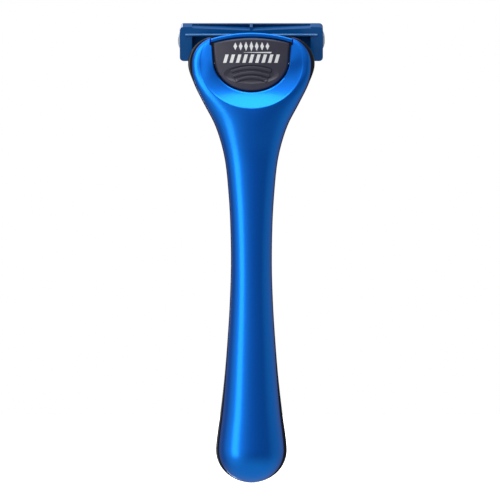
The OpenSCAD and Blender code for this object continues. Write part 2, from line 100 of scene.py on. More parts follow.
def curve(table, z):
    """Smooth line through rows of (height, value): cubic Hermite pieces whose slope at each
    row is that between its two neighbours, level at both ends of the table."""
    rows = np.array(table, float)
    h, v = rows[:, 0], rows[:, 1]
    slope = np.zeros(len(h))
    slope[1:-1] = (v[2:] - v[:-2]) / (h[2:] - h[:-2])
    i = np.clip(np.searchsorted(h, z, side="right") - 1, 0, len(h) - 2)
    step = h[i + 1] - h[i]
    s = np.clip((z - h[i]) / step, 0, 1)
    blend = s * s * (3 - 2 * s)
    tilt = (1 - s) * slope[i] - s * slope[i + 1]
    return v[i] + (v[i + 1] - v[i]) * blend + step * s * (1 - s) * tilt


def mix(a, b, s):
    """The value a share s of the way from a to b."""
    return a + (b - a) * s


# width from the waist out: shares of the way down the grip or up the neck, with shares of the
# growth in width
GRIP_SHARES = [(1, 1), (0.9, 0.88), (0.8, 0.7), (0.6, 0.42), (0.4, 0.22), (0.2, 0.07)]
NECK_SHARES = [
    (0.2, 0.015), (0.35, 0.055), (0.5, 0.125), (0.6, 0.225), (0.7, 0.385), (0.8, 0.63),
    (0.9, 0.86), (1, 1),
]
WIDTH = (
    [(-GRIP_LEN * way, mix(WAIST_W, GRIP_W, w) / 2) for way, w in GRIP_SHARES]
    + [(0, WAIST_W / 2)]
    + [(EAR_Z * way, mix(WAIST_W, 2 * (EAR_X + EAR_R), w) / 2) for way, w in NECK_SHARES]
)
# rows of (height, y) for the front, the back and the parting line between the shells
FRONT = [(-54, -6.6), (-32.4, -6.3), (0, -5.4), (29, -5.7), (44.9, -7.6), (58, -5.4), (65.85, -4.4)]
BACK = [(-54, 9.2), (-32.4, 7.4), (0, 5.2), (34.8, 5.8), (44.9, 5.8), (58, 4.2), (65.85, 0.6)]
PARTING = [(-54, 2.2), (-27, 1), (0, 0.3), (29, -0.3), (44.9, -1.3), (58, -1.6), (65.85, -1.8)]
# width of the rear shell's rim, and squareness of the section: 2 is an ellipse
RIM = [(-54, 0.85), (-27, 0.32), (0, 0.2), (29, 0.22), (44.9, 0.3), (53, 0.4), (58, 1.1)]
SQUARENESS = [(-54, 2.2), (0, 2.2), (34.8, 2.3), (44.9, 2.5), (54, 4.2), (66, 4.4)]


def dome(z):
    """Share of the full section left at a height in the rounded end: a quarter ellipse."""
    return np.where(z >= -GRIP_LEN, 1.0, np.sqrt(np.clip(1 - ((z + GRIP_LEN) / END_LEN) ** 2, 0, 1)))


def half_width(z):
    """Half width of the handle: the width line below the ears, one circle round each ear above."""
    ear = EAR_X + np.sqrt(np.clip(EAR_R ** 2 - (z - EAR_Z) ** 2, 0, None))
    return np.where(z > EAR_Z, ear, curve(WIDTH, z) * dome(z))


def rim(z):
    """Width of the ledge that the rear shell leaves outside the front shell."""
    return curve(RIM, z) * dome(z)


def front_width(z):
    """Half width of the front shell."""
    return half_width(z) - rim(z)


def bulge(x, half, z):
    """Height share of a flattened ellipse: (1 - |x/half|^p)^(1/p), with p the squareness."""
    p = curve(SQUARENESS, z)
    u = np.clip(np.abs(x) / np.maximum(half, 1e-9), 0, 1)
    return (1 - u ** p) ** (1 / p)


def front_skin(x, z):
    """Outer surface of the front shell before the dish is cut."""
    part = curve(PARTING, z)
    return part - (part - curve(FRONT, z)) * dome(z) * bulge(x, front_width(z), z)


def front_lining(x, z):
    """Inner surface of the front shell: one wall in, flat behind the button, level with the
    parting line outside the hollow, in the ears and at the very bottom."""
    part = curve(PARTING, z)
    limit = CAVITY_FRONT - CAVITY_DROP * np.clip((NECK_CUT + 2 - z) / 2, 0, 1)
    deep = np.maximum(mix(part, curve(FRONT, z), dome(z)) + WALL, limit)
    deep = np.minimum(part - CAVITY_MIN, deep)
    inside = front_width(z) - WALL
    fade = np.clip((FRONT_HOLLOW_END - z) / HOLLOW_STEP, 0, 1)
    hollow = np.clip(inside / CAVITY_FADE, 0, 1) * fade
    return part - (part - deep) * bulge(x, inside, z) * hollow


def place(x, y, z):
    """Points from arrays of x, y and z that spread over each other."""
    return np.stack(np.broadcast_arrays(x, y, z), axis=-1).astype(float)


def solid(name, patches, body, material, sharp=38, wraps=()):
    """One closed mesh from grids of points in millimetres that meet along their edges, where
    their points are merged. A grid whose number is in wraps joins its last column to its
    first. Edges sharper than sharp degrees stay crisp."""
    points, faces, start = [], [], 0
    for number, grid in enumerate(patches):
        rows, cols = grid.shape[:2]
        index = start + np.arange(rows * cols).reshape(rows, cols)
        if number in wraps:
            index = np.concatenate([index, index[:, :1]], axis=1)
        quads = np.stack([index[:-1, :-1], index[:-1, 1:], index[1:, 1:], index[1:, :-1]], axis=-1)
        points.append(grid.reshape(-1, 3))
        faces.append(quads.reshape(-1, 4))
        start += rows * cols
    mesh = bpy.data.meshes.new(name)
    mesh.from_pydata((np.concatenate(points) * MM).tolist(), [], np.concatenate(faces).tolist())
    work = bmesh.new()
    work.from_mesh(mesh)
    bmesh.ops.remove_doubles(work, verts=work.verts, dist=0.002 * MM)
    bmesh.ops.dissolve_degenerate(work, edges=work.edges, dist=0.001 * MM)
    bmesh.ops.recalc_face_normals(work, faces=work.faces)
    work.to_mesh(mesh)
    work.free()
    mesh.shade_smooth()
    mesh.set_sharp_from_angle(angle=math.radians(sharp))
    piece = bpy.data.objects.new(name, mesh)
    bpy.context.scene.collection.objects.link(piece)
    mesh.materials.append(material)
    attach(piece, body)
    return piece


# the grip and the neck, row by row: outer skin, then lining
angle = np.linspace(0, math.pi, COLUMNS)
cosine, sine = np.cos(angle), np.sin(angle)
across = cosine / (np.abs(cosine) ** NECK_POWER + np.abs(sine) ** NECK_POWER) ** (1 / NECK_POWER)
round_end = -GRIP_LEN - END_LEN * np.cos(np.linspace(0, math.pi / 2, 24)[:-1])
heights = np.concatenate([round_end, np.linspace(-GRIP_LEN, NECK_CUT, 110)])[:, None]
rows_x = front_width(heights) * across
skin = place(rows_x, front_skin(rows_x, heights), heights)
lining = place(rows_x, front_lining(rows_x, heights), heights)

# the head: columns run from one ear's tip down its side, across the neck and up the other
TIP_Z = math.sqrt(EAR_R ** 2 - (WELL_RX + RIM[-1][1] - EAR_X) ** 2)


def around(width, rise):
    """The head's outline as (x, z) rows, from the right tip round to the left one."""
    right = np.stack([width(rise[::-1]), rise[::-1]], axis=1)
    bottom = np.stack([width(NECK_CUT) * across, np.full(COLUMNS, NECK_CUT)], axis=1)
    left = np.stack([-width(rise), rise], axis=1)
    return np.concatenate([right, bottom, left])


def ear_rise(tip):
    """Heights up the head's side: even up the neck, then even turns round the ear to its tip."""
    turns = EAR_Z + EAR_R * np.sin(np.linspace(0, math.asin(tip / EAR_R), 42))
    return np.concatenate([np.linspace(NECK_CUT, EAR_Z, 40)[1:], turns[1:]])


# the edge of the opening: an ellipse round the button, then straight sides that widen
rise = ear_rise(TIP_Z)
rim_line = around(front_width, rise)
turn = np.arctan2(rim_line[:, 0], BUTTON_MID - rim_line[:, 1])
bowl_rx, bowl_rz = BUTTON_RX + BUTTON_GAP, BUTTON_RZ + BUTTON_GAP
reach = 1 / np.sqrt((np.sin(turn) / bowl_rx) ** 2 + (np.cos(turn) / bowl_rz) ** 2)
over = np.clip((np.abs(turn) - math.pi / 2) / (np.abs(turn[0]) - math.pi / 2), 0, 1)
side_z = mix(BUTTON_MID, EAR_Z + TIP_Z, over)
side_heights = [BUTTON_MID, WELL_CORNER, WELL_CORNER + 0.1, EAR_Z + 8]
side_x = np.interp(side_z, side_heights, [bowl_rx, bowl_rx + 0.2, WELL_RX, WELL_RX])
below = np.abs(turn) <= math.pi / 2
well = np.stack([
    np.where(below, reach * np.sin(turn), np.sign(turn) * side_x),
    np.where(below, BUTTON_MID - reach * np.cos(turn), side_z),
], axis=1)

# the dish's crease: the share of each line, from the opening to the rim, at which it crosses
# the dish's ellipse, from the quadratic a t^2 + b t + c = 0
way = rim_line - well
ellipse = np.array([DISH_RX, DISH_RZ])
offset = well - [0, EAR_Z]
a = ((way / ellipse) ** 2).sum(axis=1) + 1e-9
b = 2 * (offset * way / ellipse ** 2).sum(axis=1)
c = ((offset / ellipse) ** 2).sum(axis=1) - 1
crease = np.clip((-b + np.sqrt(np.maximum(b * b - 4 * a * c, 0))) / (2 * a), *CREASE_RANGE)

# points along those lines as (x, z): a first stretch to the crease and the rest to the rim
length = np.maximum(np.linalg.norm(way, axis=1) * crease, 1e-6)
chamfer = np.minimum(EDGE_CHAMFER, 0.4 * length)
inner = mix((chamfer / length)[:, None], 1, np.linspace(0, 1, 26)[None, :])
outer = np.sin(np.linspace(0, math.pi / 2, 40))[1:]
beyond = crease[:, None] + (1 - crease[:, None]) * outer[None, :]
first = well[:, None] + (way * crease[:, None])[:, None] * inner[..., None]
rest = well[:, None] + way[:, None] * beyond[..., None]

POCKET_DEPTH = 0.18
POCKET_X, POCKET_Z = 14.4, EAR_Z - 1.5
POCKET_WIDE, POCKET_TALL = 1.5, 3.4


def pockets(x, z):
    """Depth of the soft hollows in the flanks: a bell-shaped dimple on each side."""
    sideways = (np.abs(x) - POCKET_X) / POCKET_WIDE
    upwards = (z - POCKET_Z) / POCKET_TALL
    return POCKET_DEPTH * np.exp(-(sideways ** 2) - upwards ** 2)


# y of the two stretches: the further back of the dish and the plain skin, joined softly, and
# over the last twelfth of the first stretch it runs into the crease
crease_y = front_skin(first[:, -1, 0], first[:, -1, 1])[:, None]
dish = mix(DISH_EDGE_Y, crease_y, inner ** DISH_BOW)
plain = front_skin(first[..., 0], first[..., 1])
first_y = 0.5 * (dish + plain + np.sqrt((dish - plain) ** 2 + CREASE_SOFT ** 2))
first_y = mix(first_y, crease_y, np.clip(inner * 12 - 11, 0, 1))
first_y = first_y + pockets(first[..., 0], first[..., 1])
rest_y = front_skin(rest[..., 0], rest[..., 1]) + pockets(rest[..., 0], rest[..., 1])
on_rim = np.zeros(len(rest_y), bool)
on_rim[:len(rise)] = on_rim[-len(rise):] = True
rest_y[on_rim, -1] = curve(PARTING, rest[on_rim, -1, 1])
edge_low = place(well[:, 0], first_y[:, 0] + chamfer, well[:, 1])
head_skin = np.concatenate([
    edge_low[:, None],
    place(first[..., 0], first_y, first[..., 1]),
    place(rest[..., 0], rest_y, rest[..., 1]),
], axis=1)
shares = np.linspace(0, 1, 40)[None, :, None]
lined = mix(well[:, None], rim_line[:, None], shares)
head_lining = place(lined[..., 0], front_lining(lined[..., 0], lined[..., 1]), lined[..., 1])
well_wall = np.stack([edge_low, head_lining[:, 0]], axis=1)


def linear(code):
    """Linear colour, with alpha, from an sRGB hex code."""
    rgb = np.array([int(code[i:i + 2], 16) for i in (0, 2, 4)]) / 255
    return (*np.where(rgb <= 0.04045, rgb / 12.92, ((rgb + 0.055) / 1.055) ** 2.4).tolist(), 1.0)


def add(tree, kind, settings=None, links=None, **options):
    """Adds one node: settings are values for its inputs, links are sockets that feed them, and
    options are its own properties."""
    made = tree.nodes.new(kind)
    for key, value in options.items():
        setattr(made, key, value)
    for key, value in (settings or {}).items():
        made.inputs[key].default_value = value
    for key, source in (links or {}).items():
        tree.links.new(source, made.inputs[key])
    return made


PATCH = 9                   # patches of colour, as a multiple of the grain


def finish(name, tones, grain, rough, relief, gloss, pattern=None):
    """A moulded or ground surface: its colour drifts between two tones over patches some nine
    grains wide, its roughness drifts between two values, and a fine texture of grain
    millimetres stands up by relief millimetres. pattern may add a height of its own, and
    gloss sets the shader's own sockets."""
    made = bpy.data.materials.new(name)
    made.use_nodes = True
    tree = made.node_tree
    tree.nodes.clear()
    where = add(tree, "ShaderNodeTexCoord").outputs["Object"]
    drift = add(
        tree, "ShaderNodeTexNoise", {"Scale": 1 / (grain * PATCH * MM), "Detail": 3.0},
        {"Vector": where},
    )
    colour = add(
        tree, "ShaderNodeMix", {6: linear(tones[0]), 7: linear(tones[1])}, {0: drift.outputs["Fac"]},
        data_type="RGBA",
    )
    fine = add(
        tree, "ShaderNodeTexNoise", {"Scale": 1 / (grain * MM), "Detail": 4.0, "Roughness": 0.6},
        {"Vector": where},
    )
    spread = add(
        tree, "ShaderNodeMapRange", {"To Min": rough[0], "To Max": rough[1]},
        {"Value": fine.outputs["Fac"]},
    )
    height = fine.outputs["Fac"]
    if pattern:
        height = pattern(tree, where, height)
    raised = add(
        tree, "ShaderNodeBump", {"Strength": 1.0, "Distance": relief * MM}, {"Height": height},
    )
    shader = add(tree, "ShaderNodeBsdfPrincipled", gloss, {
        "Base Color": colour.outputs[2],
        "Roughness": spread.outputs["Result"],
        "Normal": raised.outputs["Normal"],
    })
    surface = add(tree, "ShaderNodeOutputMaterial", links={"Surface": shader.outputs["BSDF"]})
    surface.is_active_output = True
    return made


# metallic lacquer: aluminium flakes of about 0.03 mm in a blue tint, drawn at 0.12 mm so that
# they show. The flakes lying flat flash cyan, and a clear coat gives a sharper white gloss.
FLASH_SHARE = 0.16          # share of the flakes that flash

lacquer = finish(
    "metallic_blue_lacquer", ("0a4ce4", "0c51ec"), 0.12, (0.37, 0.43), 0.0004,
    {"Metallic": 0.95, "Coat Weight": 0.1, "Coat Roughness": 0.07, "Coat IOR": 1.5},
)
tree = lacquer.node_tree
tint = tree.nodes["Principled BSDF"]
flash = add(
    tree, "ShaderNodeBsdfPrincipled",
    {"Base Color": linear("26f0e0"), "Metallic": 1.0, "Roughness": 0.25},
    {"Normal": tint.inputs["Normal"].links[0].from_socket},
)
both = add(
    tree, "ShaderNodeMixShader", {0: FLASH_SHARE}, {1: tint.outputs["BSDF"], 2: flash.outputs["BSDF"]},
)
tree.links.new(both.outputs["Shader"], tree.nodes["Material Output"].inputs["Surface"])
front = solid(
    "front_shell_moulding", [skin, lining, head_skin, head_lining, well_wall],
    "handle", lacquer,
)
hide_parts("front_shell")

# ------------------------------------------------------------------------------------------
# Rear shell: the black half of the handle. Polished, injection-moulded ABS. It is wider than
# the front shell, so that its rounded rim frames the ears and the grip, and it is open between
# the ears for the docking head.
# ------------------------------------------------------------------------------------------
RIM_ROUND = 0.6             # radius of the rim's edge, as a share of the rim's width
REAR_HOLLOW_END = EAR_Z + 0.3
OPEN_X = 10.8               # half width of the opening between the ears


def rear_skin(x, z):
    """Outer surface of the rear shell, which starts below the rim's rounded edge."""
    part = curve(PARTING, z)
    deep = part + (curve(BACK, z) - part) * dome(z) * bulge(x, half_width(z), z)
    return np.maximum(deep, part + RIM_ROUND * rim(z))


def rear_lining(x, z):
    """Front of the rear shell: the ledge at the parting line with a quarter-round edge, and
    the hollow one wall in from the back, which ends at the ears."""
    part = curve(PARTING, z)
    deep = np.maximum(part + CAVITY_MIN, mix(part, curve(BACK, z), dome(z)) - WALL)
    inside = front_width(z) - WALL
    fade = np.clip((REAR_HOLLOW_END - z) / HOLLOW_STEP, 0, 1)
    hollow = np.clip(inside / CAVITY_FADE, 0, 1) * fade
    radius = RIM_ROUND * rim(z) + 1e-6
    out = np.clip((np.abs(x) - half_width(z)) / radius + 1, 0, 1)
    quarter = radius * (1 - np.sqrt(1 - out ** 2))
    return part + (deep - part) * bulge(x, inside, z) * hollow + quarter


rows_x = half_width(heights) * across
rear_back = place(rows_x, rear_skin(rows_x, heights), heights)
rear_front = place(rows_x, rear_lining(rows_x, heights), heights)

# the head: lines fan out from the opening between the ears to the rim
rear_tip = math.sqrt(EAR_R ** 2 - (OPEN_X - EAR_X) ** 2)
rise = ear_rise(rear_tip)
rear_rim = around(half_width, rise)
climb = EAR_Z + rear_tip * (rise - NECK_CUT) / (rise[-1] - NECK_CUT)
opening = np.concatenate([
    np.stack([np.full(len(rise), OPEN_X), climb[::-1]], axis=1),
    np.stack([OPEN_X * across, np.full(COLUMNS, EAR_Z)], axis=1),
    np.stack([np.full(len(rise), -OPEN_X), climb], axis=1),
])
shares = np.sin(np.linspace(0, math.pi / 2, 64))[None, :, None]
fan = mix(opening[:, None], rear_rim[:, None], shares)
fan_back = place(fan[..., 0], rear_skin(fan[..., 0], fan[..., 1]), fan[..., 1])
fan_front = place(fan[..., 0], rear_lining(fan[..., 0], fan[..., 1]), fan[..., 1])
rear_opening = np.stack([fan_back[:, 0], fan_front[:, 0]], axis=1)

# polished ABS, the tool's own shine: a near black that leans to blue, with a trace of haze
polished_black = finish(
    "polished_black_abs", ("03060f", "060a16"), 0.8, (0.06, 0.1), 0.0004, {"IOR": 1.53},
)
rear = solid(
    "rear_shell_moulding", [rear_back, rear_front, fan_back, fan_front, rear_opening],
    "handle", polished_black,
)
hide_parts("rear_shell")

# ------------------------------------------------------------------------------------------
# Grip pad: soft black TPE rubber, moulded with raised cross ribs and glued to the back of the
# rear shell. It tapers to the shell at its edges.
# ------------------------------------------------------------------------------------------
PAD_LOW, PAD_HIGH = -46.0, 28.0
PAD_T = 0.9
PAD_SHARE = 0.77            # width of the pad as a share of the handle's
RIB_PITCH = 2.4
RIB_HEIGHT = 0.38
RIB_BOW = 2.2               # how far the ribs curve down at the pad's edges
RIB_FOOT, RIB_TOP = -0.2, 0.75      # where the ribs' cosine is cut flat
RIB_SIDE = 0.8              # the ribs end at this share of the pad's half width
RIB_STOP = 3.0              # and this far from its two ends
RIB_FADE_X, RIB_FADE_Z = 0.12, 1.5  # the share of its half width, and the length, they fade over
GLUE = 0.03

pad_z = np.linspace(PAD_LOW, PAD_HIGH, 420)[:, None]
pad_across = np.linspace(-1, 1, 73)[None, :]
pad_middle, pad_half = (PAD_LOW + PAD_HIGH) / 2, (PAD_HIGH - PAD_LOW) / 2
taper = np.sqrt(np.clip(1 - np.abs((pad_z - pad_middle) / pad_half) ** 8, 0, 1))
pad_x = PAD_SHARE * half_width(pad_z) * taper * pad_across
seat_y = rear_skin(pad_x, pad_z) + GLUE
# thickness: a cushion edge all round, with rounded ribs that stop short of the edge
cushion = np.sqrt(np.clip(1 - np.abs(pad_across) ** 6, 0, 1)) * taper
bowed_z = pad_z + RIB_BOW * pad_across ** 2
ribs = np.clip(np.cos(2 * math.pi * bowed_z / RIB_PITCH), RIB_FOOT, RIB_TOP)
beside = np.clip((RIB_SIDE - np.abs(pad_across)) / RIB_FADE_X, 0, 1)
along = np.clip((pad_half - RIB_STOP - np.abs(pad_z - pad_middle)) / RIB_FADE_Z, 0, 1)
rib_rise = (ribs - RIB_FOOT) / (RIB_TOP - RIB_FOOT)
thick = (PAD_T - RIB_HEIGHT) * cushion + RIB_HEIGHT * beside * along * rib_rise


def rubber_grain(tree, where, fine):
    """Spark-eroded tool texture: soft cells 0.35 mm wide added to the fine noise."""
    cells = add(
        tree, "ShaderNodeTexVoronoi", {"Scale": 1 / (0.35 * MM)}, {"Vector": where},
        feature="SMOOTH_F1",
    )
    total = add(tree, "ShaderNodeMath", links={0: cells.outputs["Distance"], 1: fine}, operation="ADD")
    return total.outputs["Value"]


# thermoplastic rubber: charcoal, dull, with the pebbled skin of an eroded mould
grip_rubber = finish(
    "black_tpe_rubber", ("17181b", "1d1e22"), 0.3, (0.55, 0.68), 0.02,
    {"IOR": 1.5, "Sheen Weight": 0.15}, rubber_grain,
)
pad_patches = [place(pad_x, seat_y + thick, pad_z), place(pad_x, seat_y, pad_z)]
pad = solid("grip_pad", pad_patches, "handle", grip_rubber)
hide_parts("back_grip")

# ------------------------------------------------------------------------------------------
# Inner frame: black glass-filled nylon, a spine down the handle with a fork that guides the
# docking slab and a bridge that the button's spring pushes against. It snaps into the shells.
# ------------------------------------------------------------------------------------------


def softened(node, name, material, width, segments=2):
    """A copy of a CAD part whose triangles are joined, with every crisp edge rounded to width
    millimetres, as a mould leaves it."""
    source = frame["nodes"][node]
    mesh = source.data.copy()
    work = bmesh.new()
    work.from_mesh(mesh)
    bmesh.ops.remove_doubles(work, verts=work.verts, dist=0.002 * MM)
    bmesh.ops.dissolve_limit(work, angle_limit=math.radians(2), verts=work.verts, edges=work.edges)
    work.to_mesh(mesh)
    work.free()
    mesh.name = name
    mesh.shade_smooth()
    mesh.set_sharp_from_angle(angle=math.radians(38))
    mesh.materials.clear()
    mesh.materials.append(material)
    piece = bpy.data.objects.new(name, mesh)
    bpy.context.scene.collection.objects.link(piece)
    edge = piece.modifiers.new("mould_radius", "BEVEL")
    edge.width = width * MM
    edge.segments = segments
    edge.limit_method = "ANGLE"
    edge.angle_limit = math.radians(38)
    edge.harden_normals = True
    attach(piece, source["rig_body"])
    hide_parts(node)


# glass-filled nylon: dull, with the fibres' faint unevenness at the surface
nylon = finish("black_glass_filled_nylon", ("101114", "1b1c20"), 0.2, (0.45, 0.6), 0.006, {"IOR": 1.53})
softened("chassis", "inner_frame", nylon, 0.12)

# ------------------------------------------------------------------------------------------
# Release button: charcoal ABS with a spark-eroded satin skin. The thumb pushes it up on three
# arched ridges in a shallow oval; two tabs behind it push the docking slab, and a lug under it
# meets the spring.
# ------------------------------------------------------------------------------------------
BUTTON_FRONT, BUTTON_BACK = -5.6, -3.6
CROWN_R = 40.0
CROWN_TILT = math.radians(6)
TOP_R, TOP_Z = 46.0, EAR_Z + 7.3    # the arc along the button's top, and its crown's height
BUTTON_CORNER_X = BUTTON_RX + 0.2
BUTTON_EDGE = 0.7           # radius of the edge all round
OVAL = (54.9, 7.9, 2.7)     # the thumb hollow: height of its centre, half width, half height
OVAL_DEPTH = 0.5
RIDGES = [(56.75, 5.4), (55.3, 4.9), (54.0, 4.2)]   # height at the middle, half length
RIDGE_SAG = 0.9
RIDGE_HALF = 0.5
RIDGE_RISE = 0.42
TAB_X, TAB_HALF = 5.5, 1.5  # the two tabs that push the docking slab
LUG_HALF = 1.4
ROOT = 0.3                  # how far tabs and lug run into the plate


def arch(radius, top, x):
    """Height of an arc of that radius at x, with its crown at top on the middle plane."""
    return top - radius + np.sqrt(radius ** 2 - x ** 2)


def crown(x, z):
    """Front of the button: a cylinder of large radius along Z, tilted so that its top stands
    out."""
    bow = CROWN_R - np.sqrt(CROWN_R ** 2 - x ** 2)
    return BUTTON_FRONT + bow - (z - EAR_Z) * math.tan(CROWN_TILT)


def ridge_shape(x, z):
    """Height of the oval's hollow and of the three arched ridges in it, each a round-topped bar
    that follows its own arc and has round ends."""
    centre, rx, rz = OVAL
    inside = np.clip(1 - (x / rx) ** 2 - ((z - centre) / rz) ** 2, 0, 1)
    depth = -OVAL_DEPTH * np.clip(inside * 3, 0, 1) ** 0.8
    for middle, reach in RIDGES:
        arc = middle - RIDGE_SAG * (np.clip(np.abs(x), 0, reach) / reach) ** 2
        past = np.clip(np.abs(x) - reach, 0, None)
        away = np.sqrt((z - arc) ** 2 + past ** 2) / RIDGE_HALF
        depth = depth + RIDGE_RISE * np.clip(1 - away ** 4, 0, 1) ** 0.5
    return depth


# the plate: its outline, rings of points from its middle that crowd towards the rounded edge,
# then its side and its back
low_arc = np.linspace(-math.pi / 2, math.pi / 2, 200)
bottom_edge = np.stack([BUTTON_RX * np.sin(low_arc), BUTTON_MID - BUTTON_RZ * np.cos(low_arc)], axis=1)
top_x = BUTTON_CORNER_X * np.linspace(1, -1, 100)
top_edge = np.stack([top_x, arch(TOP_R, TOP_Z, top_x)], axis=1)
side_steps = np.linspace(0, 1, 24)[1:-1, None]
outline = np.concatenate([
    bottom_edge,
    mix(bottom_edge[-1:], top_edge[:1], side_steps),
    top_edge,
    mix(top_edge[-1:], bottom_edge[:1], side_steps),
])
centre = np.array([0, BUTTON_MID])
close_rings = 0.9 + 0.1 * np.sin(np.linspace(0, math.pi / 2, 24))[1:]
shares = np.concatenate([np.linspace(0, 0.9, 80), close_rings])[:, None, None]
plate_xz = mix(centre, outline[None], shares)
x, z = plate_xz[..., 0], plate_xz[..., 1]
gap = (1 - shares[..., 0]) * np.linalg.norm(outline - centre, axis=1)[None]
edge = np.clip(1 - gap / BUTTON_EDGE, 0, 1)
fall = BUTTON_EDGE * (1 - np.sqrt(np.clip(1 - edge ** 2, 0, 1)))
fall = np.minimum(fall, 0.9 * (BUTTON_BACK - crown(x, z)))
plate_y = crown(x, z) - ridge_shape(x, z) + fall
plate = place(x, plate_y, z)
plate_side = np.stack([plate[-1], place(outline[:, 0], BUTTON_BACK, outline[:, 1])])
plate_rear = np.stack([plate_side[-1], place(np.zeros(len(outline)), BUTTON_BACK, BUTTON_MID)])


def block(xs, ys, zs, radius=0.15):
    """A box with rounded edges: rounded rectangles in x and y stacked along z, drawn in by a
    quarter circle at each end, with flat ends."""
    turn = np.linspace(0, math.pi / 2, 5)
    grow, shrink = radius * (1 - np.cos(turn)), radius * (1 - np.sin(turn))
    inset = np.concatenate([[radius + 1], shrink, grow, [radius + 1]])
    level = np.concatenate([[zs[0]], zs[0] + grow, zs[1] - shrink, [zs[1]]])
    corner_turn = (np.arange(4)[:, None] * math.pi / 2 + turn[None]).ravel()
    sign_x = np.repeat([1, -1, -1, 1], len(turn))
    sign_y = np.repeat([1, 1, -1, -1], len(turn))
    half = np.array([(xs[1] - xs[0]) / 2, (ys[1] - ys[0]) / 2])
    keep = np.clip(1 - np.maximum(inset - radius, 0), 0, 1)[:, None]
    pull = np.minimum(inset, radius)[:, None]
    bx = (sign_x * (half[0] - radius) + (radius - pull) * np.cos(corner_turn)) * keep
    by = (sign_y * (half[1] - radius) + (radius - pull) * np.sin(corner_turn)) * keep
    return place(np.mean(xs) + bx, np.mean(ys) + by, level[:, None])


tabs = [
    block((mid - TAB_HALF, mid + TAB_HALF), (BUTTON_BACK - ROOT, 0.2), (EAR_Z + 2.4, EAR_Z + 3.9))
    for mid in (-TAB_X, TAB_X)
]
lug = block((-LUG_HALF, LUG_HALF), (BUTTON_BACK - ROOT, -1.3), (EAR_Z - 7.6, EAR_Z - 6.6))


def eroded(tree, where, fine):
    """Satin skin of a spark-eroded tool: pits 0.16 mm wide added to the fine noise."""
    pits = add(tree, "ShaderNodeTexVoronoi", {"Scale": 1 / (0.16 * MM)}, {"Vector": where})
    total = add(tree, "ShaderNodeMath", links={0: pits.outputs["Distance"], 1: fine}, operation="ADD")
    return total.outputs["Value"]


# charcoal ABS with a violet cast, satin where the tool was eroded. The pits are drawn at twice
# their real size, so that they show.
charcoal = finish(
    "charcoal_satin_abs", ("343241", "3f3d4b"), 0.35, (0.38, 0.48), 0.004, {"IOR": 1.53}, eroded,
)
button = solid(
    "release_button_moulding", [plate, plate_side, plate_rear, *tabs, lug],
    "button", charcoal, wraps=range(6),
)
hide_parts("release_button")

# White pad print on the button: a plain row of lozenges over a tapered line, and a row of
# slanted bars, about 0.02 mm of ink that follows the crown.
INK = 0.02
INK_LIFT = 0.002
LOZENGE_Z = 62.95
LOZENGE_PITCH = 1.55
LOZENGE_HALF = 0.55
LOZENGE_TALL = 1.45
LOZENGE_SHRINK = 0.12       # each lozenge is this much lower than its neighbour nearer the middle
TAPERED_LINE = [(-2.2, 61.15), (5.6, 60.95), (5.9, 61.35), (-2.2, 61.22)]
BAR_LEFT, BAR_PITCH = -8.2, 1.85
BAR_W, BAR_SLANT = 0.95, 0.7
BAR_LOW, BAR_HIGH = 58.2, 60.6


def mark(corners):
    """A four-cornered patch of ink, given by (x, z) corners in order, on the button's crown:
    its points blend the corners by the shares s and t across it."""
    a, b, c, d = (np.array(p, float) for p in corners)
    s, t = np.meshgrid(np.linspace(0, 1, 8), np.linspace(0, 1, 8))
    s, t = s[..., None], t[..., None]
    spot = (1 - s) * (1 - t) * a + s * (1 - t) * b + s * t * c + (1 - s) * t * d
    y = crown(spot[..., 0], spot[..., 1]) - INK_LIFT
    top = place(spot[..., 0], y - INK, spot[..., 1])
    foot = place(spot[..., 0], y + INK, spot[..., 1])
    first_sides = [np.stack([top[k], foot[k]]) for k in (0, -1)]
    other_sides = [np.stack([top[:, k], foot[:, k]]) for k in (0, -1)]
    return [top, foot, *first_sides, *other_sides]


prints = []
for k in range(-3, 4):
    middle, tall = LOZENGE_PITCH * k, LOZENGE_TALL - LOZENGE_SHRINK * abs(k)
    prints += mark([
        (middle - LOZENGE_HALF, LOZENGE_Z), (middle, LOZENGE_Z - tall),
        (middle + LOZENGE_HALF, LOZENGE_Z), (middle, LOZENGE_Z + tall),
    ])
prints += mark(TAPERED_LINE)
for k in range(9):
    left = BAR_LEFT + BAR_PITCH * k
    prints += mark([
        (left, BAR_LOW), (left + BAR_W, BAR_LOW),
        (left + BAR_W + BAR_SLANT, BAR_HIGH), (left + BAR_SLANT, BAR_HIGH),
    ])
# pad-printing ink: flat white with a slight gloss
ink_white = finish("white_pad_print_ink", ("f2f2f0", "e6e6e4"), 0.2, (0.4, 0.5), 0.001, {"IOR": 1.5})
solid("button_print", prints, "button", ink_white)

# ------------------------------------------------------------------------------------------
# Springs: wound from bright spring wire, the last turn at each end closed. The button's stands
# between its lug and the bridge below; the plunger's lies in the docking slab behind the plunger.
# ------------------------------------------------------------------------------------------
END_SLOPE = 0.12            # pitch of the closed end turns, as a share of an even pitch

# drawn steel wire: bright, with the die's fine lines as a slight unevenness
spring_wire = finish(
    "bright_spring_wire", ("9da0a4", "b4b6b9"), 0.15, (0.2, 0.3), 0.001, {"Metallic": 1.0},
)


def tube(path, radius, sides, beside):
    """Grid round a path of points: a circle square to the path at each, closed by a point at
    both ends. beside is a direction that the path never takes."""
    along = np.gradient(path, axis=0)
    along /= np.linalg.norm(along, axis=1)[:, None]
    level = np.cross(along, beside)
    level /= np.linalg.norm(level, axis=1)[:, None]
    other = np.cross(along, level)
    turn = np.linspace(0, 2 * math.pi, sides, endpoint=False)[None, :, None]
    circle = np.cos(turn) * level[:, None] + np.sin(turn) * other[:, None]
    rings = path[:, None] + radius * circle
    start = np.repeat(path[:1, None], sides, axis=1)
    end = np.repeat(path[-1:, None], sides, axis=1)
    return np.concatenate([start, rings, end])


